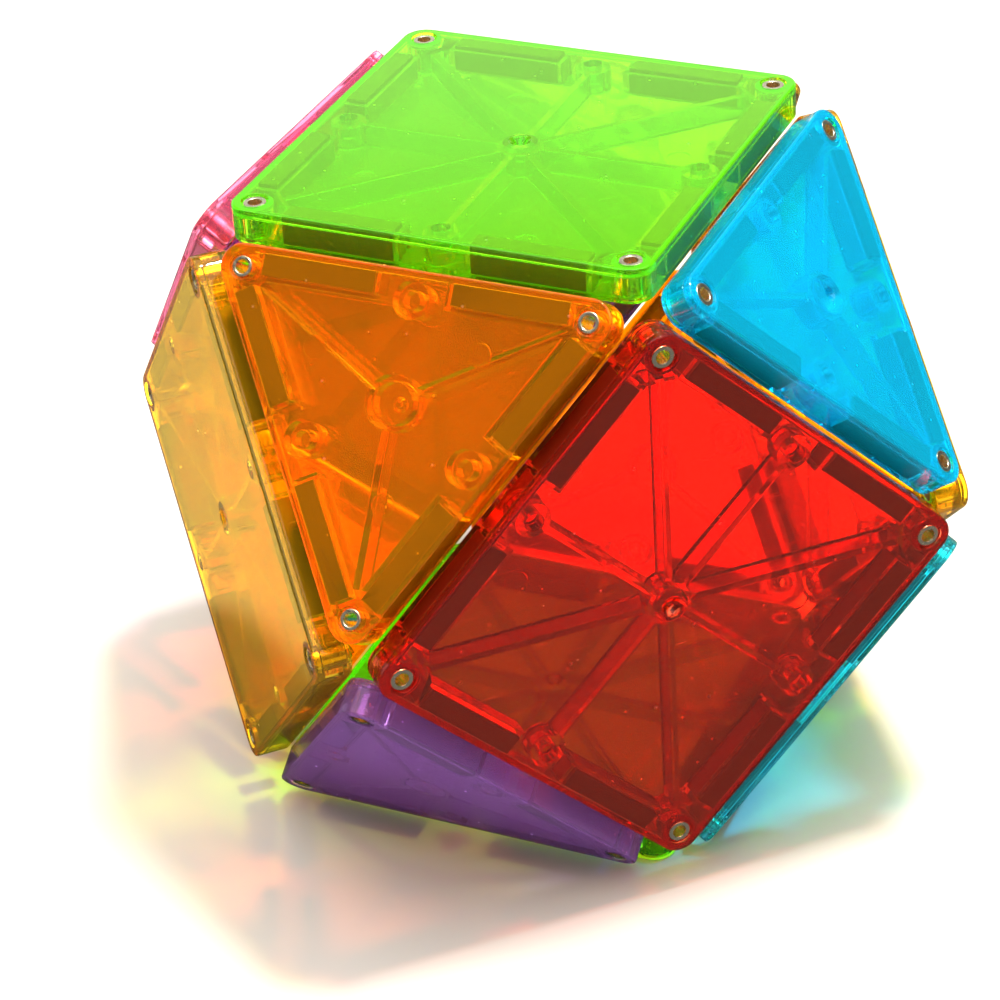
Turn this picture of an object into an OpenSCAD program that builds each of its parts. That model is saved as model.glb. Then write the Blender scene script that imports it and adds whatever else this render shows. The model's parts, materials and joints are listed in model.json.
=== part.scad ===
// A cuboctahedron put together from magnetic building tiles: six squares and eight triangles.
// Every tile is a ribbed base and a cover, held by a tubular rivet in each corner,
// with two bar magnets along each of its sides.
// The inner faces of the tiles are the faces of the ideal solid, and their thickness stands outside it.
// Z is up. The solid stands on a square tile, and the origin is the middle of that tile's outer face.

/* [Tile] */
// Length of each side of a tile, square or triangle
tile_edge = 76; // [70:1:90]
// Thickness of a tile
tile_thick = 6.4; // [6:0.1:8]
// Radius of a tile's corners; the rivets sit at the middle of this round
corner_r = 4; // [3.8:0.1:4.4]
// Gap between the sides of two tiles that are hinged together
edge_gap = 0.2; // [0.1:0.05:0.4]

/* [Shells] */
// Thickness of the flat skins of the base and the cover
skin = 0.8; // [0.6:0.1:1]
// Thickness of the wall round the rim
rim_wall = 1.2; // [1:0.1:1.4]
// Height of the cover's part of the rim
cover_rim = 1.5; // [1.3:0.1:1.8]
// Thickness of the walls round the magnet pockets
pocket_wall = 0.9; // [0.7:0.1:1.1]
// Width of the ribs
rib_w = 1.4; // [1:0.1:2]

/* [Magnets] */
// Length of a bar magnet
magnet_len = 20.4; // [17:0.1:20.4]
// Width of a bar magnet, measured in from the tile's side
magnet_w = 3.5; // [3:0.1:3.6]
// Distance between the two magnets of one side
magnet_gap = 14; // [14:0.5:15]
// Play round a magnet in its pocket
magnet_play = 0.1; // [0.05:0.05:0.15]

/* [Bosses] */
// Outer radius of the boss half way along each side
side_boss_r = 3.2; // [2.6:0.1:3.4]
// Distance of that boss from the tile's side
side_boss_inset = 5; // [4.6:0.1:5.4]
// Radius of the cover's peg in that boss
side_peg_r = 1.6; // [1.2:0.1:1.8]
// Outer radius of the boss in the middle of a square
square_boss_r = 4.1; // [3.8:0.1:5]
// Outer radius of the boss in the middle of a triangle
triangle_boss_r = 4.7; // [3.8:0.1:5]
// Thickness of the middle boss's ring
centre_ring = 1; // [0.8:0.1:1.2]
// Gap between a peg and its socket
peg_gap = 0.1; // [0.05:0.05:0.2]

/* [Rivets] */
// Radius of the hole through a rivet
rivet_hole_r = 1.2; // [1:0.05:1.3]
// Outer radius of a rivet's barrel
rivet_barrel_r = 1.5; // [1.45:0.05:1.6]
// Outer radius of the formed head, on the cover
rivet_head_r = 2; // [1.8:0.05:2.1]
// Outer radius of the rolled end, on the base
rivet_roll_r = 1.8; // [1.7:0.05:1.9]
// Thickness of the head and of the rolled end
rivet_lip = 0.3; // [0.2:0.05:0.35]

/* [Hidden] */
parting_z = tile_thick - cover_rim;
cover_inside_z = tile_thick - skin;

pocket_len = magnet_len + 2 * magnet_play;
pocket_w = magnet_w + 2 * magnet_play;
pocket_x = (magnet_gap + magnet_len) / 2;
magnet_h = cover_inside_z - skin - magnet_play;

rivet_boss_r = 3.2;
rivet_bore_r = rivet_barrel_r + 0.05;
recess_play_r = 0.35;
head_recess = 0.6;
roll_recess = 0.5;
peg_foot = 0.8;

// The pit that the moulding gate leaves in the middle of a cover
gate_depth = 1.4;
gate_floor_r = 0.6;
square_gate_r = 2;
triangle_gate_r = 1.3;

// Shallow round marks that the ejector pins leave on the base
pin_mark_r = 2;
pin_mark_depth = 0.15;

// Distances from the centre of the solid to the inner faces of its tiles
hinge_edge = tile_edge + edge_gap;
square_reach = hinge_edge / sqrt(2);
triangle_reach = hinge_edge * sqrt(2 / 3);
centre_z = square_reach + tile_thick;
triangle_tilt = acos(1 / sqrt(3));

GREEN = [0.30, 0.85, 0.10, 0.6];
RED = [0.90, 0.05, 0.10, 0.6];
YELLOW = [0.95, 0.75, 0.15, 0.6];
AMBER = [1.00, 0.65, 0.00, 0.6];
ORANGE = [1.00, 0.40, 0.00, 0.6];
BLUE = [0.00, 0.62, 0.90, 0.6];
CYAN = [0.00, 0.72, 0.80, 0.6];
PURPLE = [0.35, 0.15, 0.55, 0.6];
PINK = [0.95, 0.25, 0.40, 0.6];
MAGNET_GREY = [0.18, 0.17, 0.17];
RIVET_METAL = [0.85, 0.78, 0.62];

// Each tile: name, number of sides, colour, tilt of its normal from Z, azimuth of its normal from X,
// and whether it lies with its base outwards
TILES = [
    ["bottom_square", 4, GREEN, 180, 0, true],
    ["top_square", 4, GREEN, 0, 0, false],
    ["front_square", 4, RED, 90, 270, false],
    ["back_square", 4, PURPLE, 90, 90, false],
    ["left_square", 4, YELLOW, 90, 180, false],
    ["right_square", 4, AMBER, 90, 0, false],
    ["lower_front_left_triangle", 3, PURPLE, 180 - triangle_tilt, 225, true],
    ["lower_front_right_triangle", 3, CYAN, 180 - triangle_tilt, 315, false],
    ["lower_back_right_triangle", 3, ORANGE, 180 - triangle_tilt, 45, false],
    ["lower_back_left_triangle", 3, BLUE, 180 - triangle_tilt, 135, false],
    ["upper_front_left_triangle", 3, ORANGE, triangle_tilt, 225, true],
    ["upper_front_right_triangle", 3, BLUE, triangle_tilt, 315, false],
    ["upper_back_right_triangle", 3, YELLOW, triangle_tilt, 45, false],
    ["upper_back_left_triangle", 3, PINK, triangle_tilt, 135, false],
];
PARTS = ["base", "cover", "magnets", "rivets"];

function tile_name(tile) = tile[0];
function sides(tile) = tile[1];
function colour(tile) = tile[2];
function tilt(tile) = tile[3];
function azimuth(tile) = tile[4];
function base_outwards(tile) = tile[5];
function node_name(tile, part) = str(tile_name(tile), "_", part);

function inradius(n) = tile_edge / 2 / tan(180 / n);
function corner_dist(n) = tile_edge / 2 / sin(180 / n);
function rivet_dist(n) = (inradius(n) - corner_r) / cos(180 / n);
function corner_angle(n, k) = -90 + (2 * k + 1) * 180 / n;
function polar(r, angle) = [r * cos(angle), r * sin(angle)];
function centre_boss_r(n) = n == 4 ? square_boss_r : triangle_boss_r;
function gate_r(n) = n == 4 ? square_gate_r : triangle_gate_r;

// A tile is drawn lying flat with one side along y = -inradius, its base's face at z = 0 and its
// cover's face at z = tile_thick.

module each_side(n) {
    for (k = [0:n - 1]) rotate(k * 360 / n) translate([0, -inradius(n)]) children();
}

module each_corner(n) {
    for (k = [0:n - 1]) rotate(corner_angle(n, k)) children();
}

module each_rivet(n) {
    each_corner(n) translate([rivet_dist(n), 0]) children();
}

// The tile's rounded outline, moved in by inset
module outline(n, inset = 0) {
    r = corner_r - inset;
    polygon([for (k = [0:n - 1], side = [-1, 1])
        polar(rivet_dist(n), corner_angle(n, k)) + polar(r, corner_angle(n, k) + side * 180 / n)]);
    each_rivet(n) circle(r, $fn = 48);
}

module rim(n) {
    difference() {
        outline(n);
        outline(n, rim_wall);
    }
}

// The magnet pockets, made larger all round by wall
module pockets(n, wall = 0) {
    each_side(n) for (side = [-1, 1])
        translate([side * pocket_x, rim_wall + pocket_w / 2])
            square([pocket_len + 2 * wall, pocket_w + 2 * wall], center = true);
}

// Ribs run from the middle to the corners, and on a square to the sides as well.
// A square's corner also has a short wall across it, from pocket to pocket.
module ribs(n) {
    pocket_end = tile_edge / 2 - pocket_x - pocket_len / 2 - pocket_wall;
    pocket_depth = rim_wall + pocket_w + pocket_wall;
    square_wall_dist = corner_dist(n) - (pocket_end + pocket_depth) / sqrt(2);
    triangle_wall_dist = corner_dist(n) - pocket_end / cos(30) - pocket_wall;
    wall_dist = n == 4 ? square_wall_dist : triangle_wall_dist;
    each_corner(n) {
        translate([0, -rib_w / 2]) square([wall_dist + pocket_wall / 2, rib_w]);
        if (n == 4)
            translate([wall_dist, -pocket_depth / 2]) square([pocket_wall, pocket_depth]);
    }
    if (n == 4)
        each_side(n) translate([-rib_w / 2, side_boss_inset]) square([rib_w, inradius(n) - side_boss_inset]);
}

// Everything that stands on the base's skin, seen from above
module base_walls(n) {
    difference() {
        union() {
            rim(n);
            pockets(n, pocket_wall);
            ribs(n);
            each_side(n) translate([0, side_boss_inset]) circle(side_boss_r, $fn = 48);
            each_rivet(n) circle(rivet_boss_r, $fn = 48);
            circle(centre_boss_r(n), $fn = 48);
        }
        pockets(n);
        each_side(n) translate([0, side_boss_inset]) circle(side_peg_r + peg_gap, $fn = 48);
        circle(centre_boss_r(n) - centre_ring, $fn = 48);
    }
}

module pin_marks(n) {
    spot = n == 4 ? [inradius(n) * 0.3, inradius(n) * 0.35] : [inradius(n) * 0.62, inradius(n) * 0.55];
    each_side(n) translate([spot.x, spot.y, skin - pin_mark_depth]) cylinder(skin, r = pin_mark_r, $fn = 48);
}

module base_shape(n) {
    difference() {
        union() {
            linear_extrude(skin) outline(n);
            linear_extrude(parting_z) base_walls(n);
        }
        pin_marks(n);
        each_rivet(n) {
            translate([0, 0, -1]) cylinder(tile_thick, r = rivet_bore_r, $fn = 48);
            translate([0, 0, -1]) cylinder(roll_recess + 1, r = rivet_roll_r + recess_play_r, $fn = 48);
        }
    }
}

module cover_shape(n) {
    difference() {
        union() {
            translate([0, 0, cover_inside_z]) linear_extrude(skin) outline(n);
            translate([0, 0, parting_z]) linear_extrude(cover_rim) {
                rim(n);
                each_rivet(n) circle(rivet_boss_r, $fn = 48);
            }
            peg_h = tile_thick - skin - peg_foot - skin / 2;
            translate([0, 0, skin + peg_foot]) {
                each_side(n) translate([0, side_boss_inset]) cylinder(peg_h, r = side_peg_r, $fn = 48);
                cylinder(peg_h, r = centre_boss_r(n) - centre_ring - peg_gap, $fn = 48);
            }
        }
        translate([0, 0, tile_thick - gate_depth])
            cylinder(gate_depth, r1 = gate_floor_r, r2 = gate_r(n), $fn = 48);
        each_rivet(n) {
            cylinder(tile_thick + 1, r = rivet_bore_r, $fn = 48);
            translate([0, 0, tile_thick - head_recess])
                cylinder(tile_thick, r = rivet_head_r + recess_play_r, $fn = 48);
        }
    }
}

module magnet_bars(n) {
    each_side(n) for (side = [-1, 1])
        translate([side * pocket_x, rim_wall + pocket_w / 2, skin + magnet_h / 2])
            cube([magnet_len, magnet_w, magnet_h], center = true);
}

// A flat ring with round edges, from the rivet's hole out to r
module rivet_lip_profile(r) {
    translate([rivet_hole_r + rivet_lip / 2, 0]) square([r - rivet_hole_r - rivet_lip, rivet_lip]);
    for (x = [rivet_hole_r + rivet_lip / 2, r - rivet_lip / 2])
        translate([x, rivet_lip / 2]) circle(rivet_lip / 2, $fn = 24);
}

module rivet() {
    roll_z = roll_recess - rivet_lip;
    head_z = tile_thick - head_recess;
    barrel_w = rivet_barrel_r - rivet_hole_r;
    rotate_extrude($fn = 48) {
        translate([rivet_hole_r, roll_z + rivet_lip / 2]) square([barrel_w, head_z - roll_z]);
        translate([0, roll_z]) rivet_lip_profile(rivet_roll_r);
        translate([0, head_z]) rivet_lip_profile(rivet_head_r);
    }
}

// Puts a tile that is drawn lying flat into its place in the solid
module place(tile) {
    square_tile = sides(tile) == 4;
    spin = square_tile ? 45 : (tilt(tile) < 90 ? -90 : 90);
    translate([0, 0, centre_z])
        rotate([0, tilt(tile), azimuth(tile)])
            translate([0, 0, square_tile ? square_reach : triangle_reach])
                rotate(spin)
                    translate([0, 0, base_outwards(tile) ? tile_thick : 0])
                        rotate([0, base_outwards(tile) ? 180 : 0, 0])
                            children();
}

module base(tile) {
    color(colour(tile)) place(tile) base_shape(sides(tile));
}

module cover(tile) {
    color(colour(tile)) place(tile) cover_shape(sides(tile));
}

module magnets(tile) {
    color(MAGNET_GREY) place(tile) magnet_bars(sides(tile));
}

module rivets(tile) {
    color(RIVET_METAL) place(tile) each_rivet(sides(tile)) rivet();
}

for (tile = TILES) {
    base(tile);
    cover(tile);
    magnets(tile);
    rivets(tile);
}
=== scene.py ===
import json
import math

import bmesh
import bpy
from mathutils import Matrix, Vector


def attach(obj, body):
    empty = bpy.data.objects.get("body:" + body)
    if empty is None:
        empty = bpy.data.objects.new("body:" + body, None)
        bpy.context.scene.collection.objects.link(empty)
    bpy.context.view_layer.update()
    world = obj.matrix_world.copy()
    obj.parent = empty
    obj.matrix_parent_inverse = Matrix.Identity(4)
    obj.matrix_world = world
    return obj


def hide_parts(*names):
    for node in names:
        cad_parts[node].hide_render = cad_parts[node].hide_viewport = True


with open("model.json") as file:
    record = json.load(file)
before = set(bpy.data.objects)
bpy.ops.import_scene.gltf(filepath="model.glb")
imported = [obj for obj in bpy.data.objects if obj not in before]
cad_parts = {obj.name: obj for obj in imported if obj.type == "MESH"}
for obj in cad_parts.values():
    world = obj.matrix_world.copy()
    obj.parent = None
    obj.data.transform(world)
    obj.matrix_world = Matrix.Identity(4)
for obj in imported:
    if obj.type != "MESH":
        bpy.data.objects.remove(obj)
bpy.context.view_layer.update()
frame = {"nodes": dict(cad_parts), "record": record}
scene = bpy.context.scene

# ---------------------------------------------------------------- sizes, in metres
MM = 0.001
TILE_EDGE = 76 * MM
TILE_THICK = 6.4 * MM
CORNER_TO_RIVET = 4 * MM  # from the tile's sides to a rivet's middle
HINGE_EDGE = 76.2 * MM
SQUARE_REACH = HINGE_EDGE / math.sqrt(2)
TRIANGLE_REACH = HINGE_EDGE * math.sqrt(2 / 3)
CENTRE_Z = SQUARE_REACH + TILE_THICK
TRIANGLE_TILT = math.degrees(math.acos(1 / math.sqrt(3)))

# body: sides, tilt and azimuth of its normal, and whether its base lies outwards
TILES = {
    "bottom_square": (4, 180, 0, True),
    "top_square": (4, 0, 0, False),
    "front_square": (4, 90, 270, False),
    "back_square": (4, 90, 90, False),
    "left_square": (4, 90, 180, False),
    "right_square": (4, 90, 0, False),
    "lower_front_left_triangle": (3, 180 - TRIANGLE_TILT, 225, True),
    "lower_front_right_triangle": (3, 180 - TRIANGLE_TILT, 315, False),
    "lower_back_right_triangle": (3, 180 - TRIANGLE_TILT, 45, False),
    "lower_back_left_triangle": (3, 180 - TRIANGLE_TILT, 135, False),
    "upper_front_left_triangle": (3, TRIANGLE_TILT, 225, True),
    "upper_front_right_triangle": (3, TRIANGLE_TILT, 315, False),
    "upper_back_right_triangle": (3, TRIANGLE_TILT, 45, False),
    "upper_back_left_triangle": (3, TRIANGLE_TILT, 135, False),
}


def turned(angle, axis):
    return Matrix.Rotation(math.radians(angle), 4, axis)


def raised(z):
    return Matrix.Translation((0, 0, z))


def tile_matrix(body):
    """From a tile lying flat, base down at z = 0, to its place in the solid."""
    sides, tilt, azimuth, base_out = TILES[body]
    reach = SQUARE_REACH if sides == 4 else TRIANGLE_REACH
    spin = 45 if sides == 4 else (-90 if tilt < 90 else 90)
    m = raised(CENTRE_Z) @ turned(azimuth, "Z") @ turned(tilt, "Y") @ raised(reach) @ turned(spin, "Z")
    if base_out:
        m = m @ raised(TILE_THICK) @ turned(180, "Y")
    return m


# ---------------------------------------------------------------- node helpers
def new_material(name):
    mat = bpy.data.materials.new(name)
    mat.use_nodes = True
    nt = mat.node_tree
    nt.nodes.clear()
    return mat, nt


def node(nt, kind, **settings):
    n = nt.nodes.new(kind)
    for key, value in settings.items():
        setattr(n, key, value)
    return n


def texture(nt, kind, vector, scale, detail=None):
    n = node(nt, kind)
    n.inputs["Scale"].default_value = scale
    if detail is not None:
        n.inputs["Detail"].default_value = detail
    nt.links.new(vector, n.inputs["Vector"])
    return n


def mapped(nt, value, start=0, end=1, before=0, after=1, interpolation="LINEAR"):
    """A value that goes from before to after while the input goes from start to end."""
    n = node(nt, "ShaderNodeMapRange", interpolation_type=interpolation)
    n.inputs["From Min"].default_value = start
    n.inputs["From Max"].default_value = end
    n.inputs["To Min"].default_value = before
    n.inputs["To Max"].default_value = after
    nt.links.new(value, n.inputs["Value"])
    return n.outputs["Result"]


def combine(nt, operation, one, other):
    sums = node(nt, "ShaderNodeMath", operation=operation)
    for socket, value in zip(sums.inputs, (one, other)):
        if isinstance(value, (int, float)):
            socket.default_value = value
        else:
            nt.links.new(value, socket)
    return sums.outputs[0]


def either(nt, share, one, other):
    """Mixes two shaders: one where share is 0, the other where it is 1."""
    mix = node(nt, "ShaderNodeMixShader")
    for socket, source in zip(mix.inputs, (share, one, other)):
        nt.links.new(source, socket)
    return mix.outputs[0]


def bump(nt, height, strength, distance):
    n = node(nt, "ShaderNodeBump")
    n.inputs["Strength"].default_value = strength
    n.inputs["Distance"].default_value = distance
    nt.links.new(height, n.inputs["Height"])
    return n.outputs["Normal"]


def finish_material(nt, shader):
    nt.links.new(shader, node(nt, "ShaderNodeOutputMaterial").inputs["Surface"])


# ---------------------------------------------------------------- the plastic
PLASTIC_IOR = 1.5
FINISH = 0.03  # roughness of the clean plastic
SHADE_POWER = 0.25  # how much of a skin's tint the lamps' light takes on at each surface
SCRATCH_TURNS = ((0.5, 0.3, 0.9), (1.1, 2.1, 0.2))


def wear(nt, vector, fine):
    """Roughness of a handled tile: uneven, with fine scratches and specks."""
    rough = mapped(nt, fine, 0.35, 0.75, FINISH * 0.5, FINISH * 2)
    for turn in SCRATCH_TURNS:
        stretch = node(nt, "ShaderNodeMapping")
        stretch.inputs["Rotation"].default_value = turn
        stretch.inputs["Scale"].default_value = (1, 22, 22)
        nt.links.new(vector, stretch.inputs["Vector"])
        streaks = texture(nt, "ShaderNodeTexNoise", stretch.outputs["Vector"], 110, 1)
        rough = combine(nt, "ADD", rough, mapped(nt, streaks.outputs["Fac"], 0.74, 0.80, 0, 0.22))
    specks = texture(nt, "ShaderNodeTexVoronoi", vector, 170)
    return combine(nt, "ADD", rough, mapped(nt, specks.outputs["Distance"], 0.05, 0.035, 0, 0.45))


def plastic(name, tint, haze):
    """Clear coloured plastic. tint is what one skin passes, and haze is the share that it scatters."""
    mat, nt = new_material(name)
    link = nt.links.new
    vector = node(nt, "ShaderNodeTexCoord").outputs["Object"]
    cloud = texture(nt, "ShaderNodeTexNoise", vector, 28, 3).outputs["Fac"]
    colour = node(nt, "ShaderNodeMix", data_type="RGBA")
    colour.inputs[6].default_value = (*[c * 0.93 for c in tint], 1)
    colour.inputs[7].default_value = (*[min(1, c * 1.05) for c in tint], 1)
    link(cloud, colour.inputs[0])
    fine = texture(nt, "ShaderNodeTexNoise", vector, 160, 5).outputs["Fac"]
    p = node(nt, "ShaderNodeBsdfPrincipled")
    p.inputs["IOR"].default_value = PLASTIC_IOR
    p.inputs["Transmission Weight"].default_value = 1 - haze
    link(colour.outputs[2], p.inputs["Base Color"])
    link(wear(nt, vector, fine), p.inputs["Roughness"])
    link(bump(nt, fine, 0.03, 0.04 * MM), p.inputs["Normal"])
    clear = node(nt, "ShaderNodeBsdfTransparent")
    clear.inputs["Color"].default_value = (*[c ** SHADE_POWER for c in tint], 1)
    ray = node(nt, "ShaderNodeLightPath").outputs
    shader = either(nt, ray["Is Diffuse Ray"], p.outputs[0], clear.outputs[0])
    finish_material(nt, either(nt, ray["Is Shadow Ray"], shader, clear.outputs[0]))
    return mat


# what one skin, two surfaces, passes of red, green and blue, and the share it scatters
TINTS = {
    "green_plastic": ((0.36, 0.86, 0.02), 0.06),
    "red_plastic": ((0.95, 0.12, 0.05), 0.015),
    "yellow_plastic": ((1.00, 0.66, 0.025), 0.035),
    "amber_plastic": ((1.00, 0.60, 0.01), 0.06),
    "orange_plastic": ((1.00, 0.41, 0.002), 0.045),
    "blue_plastic": ((0.002, 0.60, 0.84), 0.11),
    "cyan_plastic": ((0.08, 0.80, 0.92), 0.06),
    "purple_plastic": ((0.33, 0.15, 0.46), 0.18),
    "pink_plastic": ((1.00, 0.25, 0.42), 0.06),
}
plastics = {slot: plastic(slot, tint, haze) for slot, (tint, haze) in TINTS.items()}


# ---------------------------------------------------------------- the metals
def magnet_material():
    mat, nt = new_material("magnet")
    vector = node(nt, "ShaderNodeTexCoord").outputs["Object"]
    grain = texture(nt, "ShaderNodeTexNoise", vector, 600, 6).outputs["Fac"]
    ramp = node(nt, "ShaderNodeValToRGB")
    ramp.color_ramp.elements[0].color = (0.006, 0.005, 0.004, 1)
    ramp.color_ramp.elements[1].color = (0.022, 0.020, 0.017, 1)
    nt.links.new(grain, ramp.inputs[0])
    p = node(nt, "ShaderNodeBsdfPrincipled")
    p.inputs["Roughness"].default_value = 0.6
    nt.links.new(ramp.outputs[0], p.inputs["Base Color"])
    nt.links.new(bump(nt, grain, 0.4, 0.05 * MM), p.inputs["Normal"])
    finish_material(nt, p.outputs[0])
    return mat


def rivet_material():
    mat, nt = new_material("rivet_metal")
    vector = node(nt, "ShaderNodeTexCoord").outputs["Object"]
    grain = texture(nt, "ShaderNodeTexNoise", vector, 900, 4).outputs["Fac"]
    p = node(nt, "ShaderNodeBsdfPrincipled")
    p.inputs["Base Color"].default_value = (0.90, 0.80, 0.58, 1)
    p.inputs["Metallic"].default_value = 1.0
    nt.links.new(mapped(nt, grain, before=0.12, after=0.38), p.inputs["Roughness"])
    finish_material(nt, p.outputs[0])
    return mat


magnet_mat = magnet_material()
rivet_mat = rivet_material()

# ---------------------------------------------------------------- the pieces
NEAR = 1e-5
SHARP = math.radians(25)  # edges that turn less than this are part of a round
BEVEL = 0.4 * MM
OUTER_WEIGHT, INNER_WEIGHT, MARK_WEIGHT = 1.0, 0.3, 0.1  # shares of BEVEL
PIT_CLEAR = 3 * MM  # the gate pit lies within this of the tile's middle
RIVET_CLEAR = 2.6 * MM  # a rivet's recess lies within this of the rivet's middle
MARK_LOW, MARK_FLOOR, MARK_TOP = 0.6 * MM, 0.65 * MM, 0.82 * MM  # heights round the ejector pins' marks


def rivet_centres(sides):
    inradius = TILE_EDGE / 2 / math.tan(math.pi / sides)
    reach = (inradius - CORNER_TO_RIVET) / math.cos(math.pi / sides)
    angles = [math.radians(-90 + (2 * k + 1) * 180 / sides) for k in range(sides)]
    return [Vector((reach * math.cos(a), reach * math.sin(a))) for a in angles]


def bevel_weight(edge, face_z, rivets):
    """How far an edge is rounded, as a share of BEVEL. The tile lies flat here."""
    heights = [v.co.z for v in edge.verts]
    in_mark = all(MARK_LOW < z < MARK_TOP for z in heights)
    if in_mark and any(abs(z - MARK_FLOOR) < NEAR for z in heights):
        return MARK_WEIGHT
    middle = ((edge.verts[0].co + edge.verts[1].co) / 2).xy
    on_face = all(abs(z - face_z) < NEAR for z in heights)
    clear = middle.length > PIT_CLEAR and min((middle - r).length for r in rivets) > RIVET_CLEAR
    return OUTER_WEIGHT if on_face and clear else INNER_WEIGHT


def rounded_mesh(name, body, base):
    """A copy of a CAD node's mesh with its edges rounded as moulded plastic's are."""
    flat = tile_matrix(body)
    rivets = rivet_centres(TILES[body][0])
    mesh = frame["nodes"][name].data.copy()
    bm = bmesh.new()
    bm.from_mesh(mesh)
    bmesh.ops.transform(bm, matrix=flat.inverted(), verts=bm.verts)
    bmesh.ops.remove_doubles(bm, verts=bm.verts, dist=2e-6)
    bmesh.ops.dissolve_limit(bm, angle_limit=math.radians(0.5), verts=bm.verts, edges=bm.edges)
    weights = bm.edges.layers.float.new("bevel_weight_edge")
    for edge in bm.edges:
        if edge.calc_face_angle(0) >= SHARP:
            edge[weights] = bevel_weight(edge, 0 if base else TILE_THICK, rivets)
    bmesh.ops.transform(bm, matrix=flat, verts=bm.verts)
    bm.to_mesh(mesh)
    bm.free()
    return mesh


def moulded(name, body, base):
    """The finished piece that stands for a CAD base or cover."""
    piece = bpy.data.objects.new(name + "_moulded", rounded_mesh(name, body, base))
    scene.collection.objects.link(piece)
    bevel = piece.modifiers.new("round", "BEVEL")
    bevel.limit_method = "WEIGHT"
    bevel.width = BEVEL
    bevel.segments = 2
    bevel.use_clamp_overlap = False
    bevel.miter_outer = "MITER_SHARP"
    evaluated = piece.evaluated_get(bpy.context.evaluated_depsgraph_get())
    done = bpy.data.meshes.new_from_object(evaluated)
    piece.modifiers.clear()
    piece.data = done
    for polygon in done.polygons:
        polygon.use_smooth = True
    done.set_sharp_from_angle(angle=math.radians(40))
    weighted = piece.modifiers.new("flat", "WEIGHTED_NORMAL")
    weighted.keep_sharp = True
    weighted.weight = 100
    slot = frame_slots[name]
    done.materials.clear()
    done.materials.append(plastics[slot])
    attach(piece, body)
    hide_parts(name)


frame_slots = {s["node"]: s["material_slot"] for s in frame["record"]["subparts"]}
for body in TILES:
    moulded(body + "_base", body, True)
    moulded(body + "_cover", body, False)
    frame["nodes"][body + "_magnets"].material_slots[0].material = magnet_mat
    frame["nodes"][body + "_rivets"].material_slots[0].material = rivet_mat


# ---------------------------------------------------------------- floor
def reflections(nt):
    """Whether a ray has been reflected at all, and whether it comes straight from a reflection."""
    ray = node(nt, "ShaderNodeLightPath").outputs
    reflected = combine(nt, "MINIMUM", ray["Glossy Depth"], 1)
    mirrored = combine(nt, "MULTIPLY", reflected, combine(nt, "SUBTRACT", 1, ray["Is Transmission Ray"]))
    return ray, reflected, mirrored


def matt(nt, colour):
    shader = node(nt, "ShaderNodeBsdfDiffuse")
    shader.inputs["Color"].default_value = (*colour, 1)
    return shader.outputs[0]


def floor_material():
    """A pale floor. It looks brightest through the plastic, and dark in the plastic's reflections. After a
    reflection it carries a painted shadow: darker at the front, towards the camera.
    """
    mat, nt = new_material("floor")
    ray, reflected, mirrored = reflections(nt)
    place = node(nt, "ShaderNodeSeparateXYZ")
    nt.links.new(node(nt, "ShaderNodeTexCoord").outputs["Object"], place.inputs[0])
    # Painted shadow: seen after a reflection, the floor is darker at the front (0.30) than behind (1.00),
    # where far_side is 1; in straight reflections it is a little darker at the front too.
    far_side = mapped(nt, place.outputs["Y"], -0.03, 0.05, interpolation="SMOOTHSTEP")
    after_reflection_painted_shadow = either(nt, far_side, matt(nt, (0.30, 0.29, 0.28)), matt(nt, (1.00, 0.98, 0.95)))
    straight = either(nt, far_side, matt(nt, (0.06, 0.06, 0.06)), matt(nt, (0.08, 0.08, 0.08)))
    surface = either(nt, reflected, matt(nt, (0.90, 0.89, 0.87)), after_reflection_painted_shadow)
    surface = either(nt, mirrored, surface, straight)
    surface = either(nt, ray["Is Camera Ray"], surface, matt(nt, (0.335, 0.305, 0.275)))
    finish_material(nt, surface)
    return mat


FLOOR_HALF = 3
corners = [(x * FLOOR_HALF, y * FLOOR_HALF, 0) for x, y in ((-1, -1), (1, -1), (1, 1), (-1, 1))]
floor_mesh = bpy.data.meshes.new("floor")
floor_mesh.from_pydata(corners, [], [(0, 1, 2, 3)])
floor_mesh.materials.append(floor_material())
floor = bpy.data.objects.new("floor", floor_mesh)
scene.collection.objects.link(floor)

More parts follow.
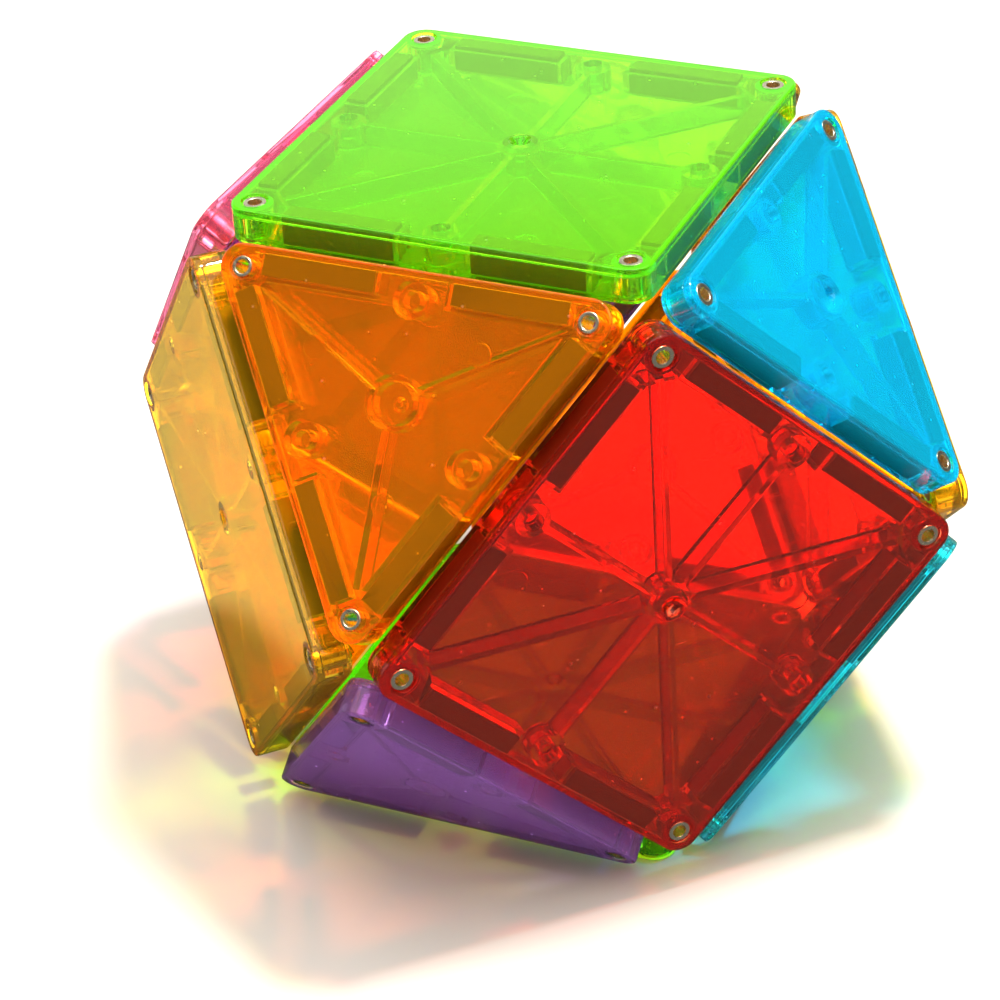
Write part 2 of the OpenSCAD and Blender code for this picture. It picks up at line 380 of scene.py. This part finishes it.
# ---------------------------------------------------------------- sky: a low glow behind, a bright ceiling
scene.world = bpy.data.worlds.new("studio")
scene.world.use_nodes = True
sky = scene.world.node_tree
direction = node(sky, "ShaderNodeSeparateXYZ")
sky.links.new(node(sky, "ShaderNodeTexCoord").outputs["Generated"], direction.inputs[0])


def glow(axis, start, end, before, after):
    """Light from the sky that changes smoothly along one axis."""
    return mapped(sky, direction.outputs[axis], start, end, before, after, "SMOOTHSTEP")


behind = combine(sky, "MULTIPLY", glow("Y", 0.2, 0.6, 0, 1), glow("Z", 0.40, 0.50, 0.75, 0))
shown = combine(sky, "SUBTRACT", 1, combine(sky, "MULTIPLY", reflections(sky)[2], 0.8))
overhead = combine(sky, "MULTIPLY", glow("Z", 0.62, 0.85, 0, 6.4), shown)
strength = combine(sky, "ADD", combine(sky, "ADD", behind, overhead), 0.06)
background = sky.nodes["Background"]
background.inputs["Color"].default_value = (1, 1, 1, 1)
sky.links.new(strength, background.inputs["Strength"])


# ---------------------------------------------------------------- lamp and camera
def aim(thing, location, target, roll=0):
    thing.location = location
    thing.rotation_mode = "QUATERNION"
    towards = (Vector(target) - Vector(location)).to_track_quat("-Z", "Y")
    thing.rotation_quaternion = towards @ turned(roll, "Z").to_quaternion()
    scene.collection.objects.link(thing)


lamp_data = bpy.data.lights.new("key", "AREA")
lamp_data.shape = "DISK"
lamp_data.size = 0.14
lamp_data.energy = 30
lamp_data.color = (1.0, 0.98, 0.95)
aim(bpy.data.objects.new("key", lamp_data), (0.222, -0.034, 1.15), (0, 0, CENTRE_Z))

camera_data = bpy.data.cameras.new("camera")
camera_data.sensor_width = 36
camera_data.lens = 113.2
camera = bpy.data.objects.new("camera", camera_data)
CAMERA_AT = (-0.16841, -0.45982, 0.29957 + CENTRE_Z)
LOOK_AT = (-0.0092, -0.0029, -0.0091 + CENTRE_Z)
CAMERA_ROLL = -3.95
aim(camera, CAMERA_AT, LOOK_AT, CAMERA_ROLL)
scene.camera = camera
scene.view_settings.view_transform = "Standard"
scene.cycles.max_bounces = 16
scene.cycles.transmission_bounces = 16
scene.cycles.transparent_max_bounces = 32
scene.cycles.glossy_bounces = 8
scene.cycles.diffuse_bounces = 4
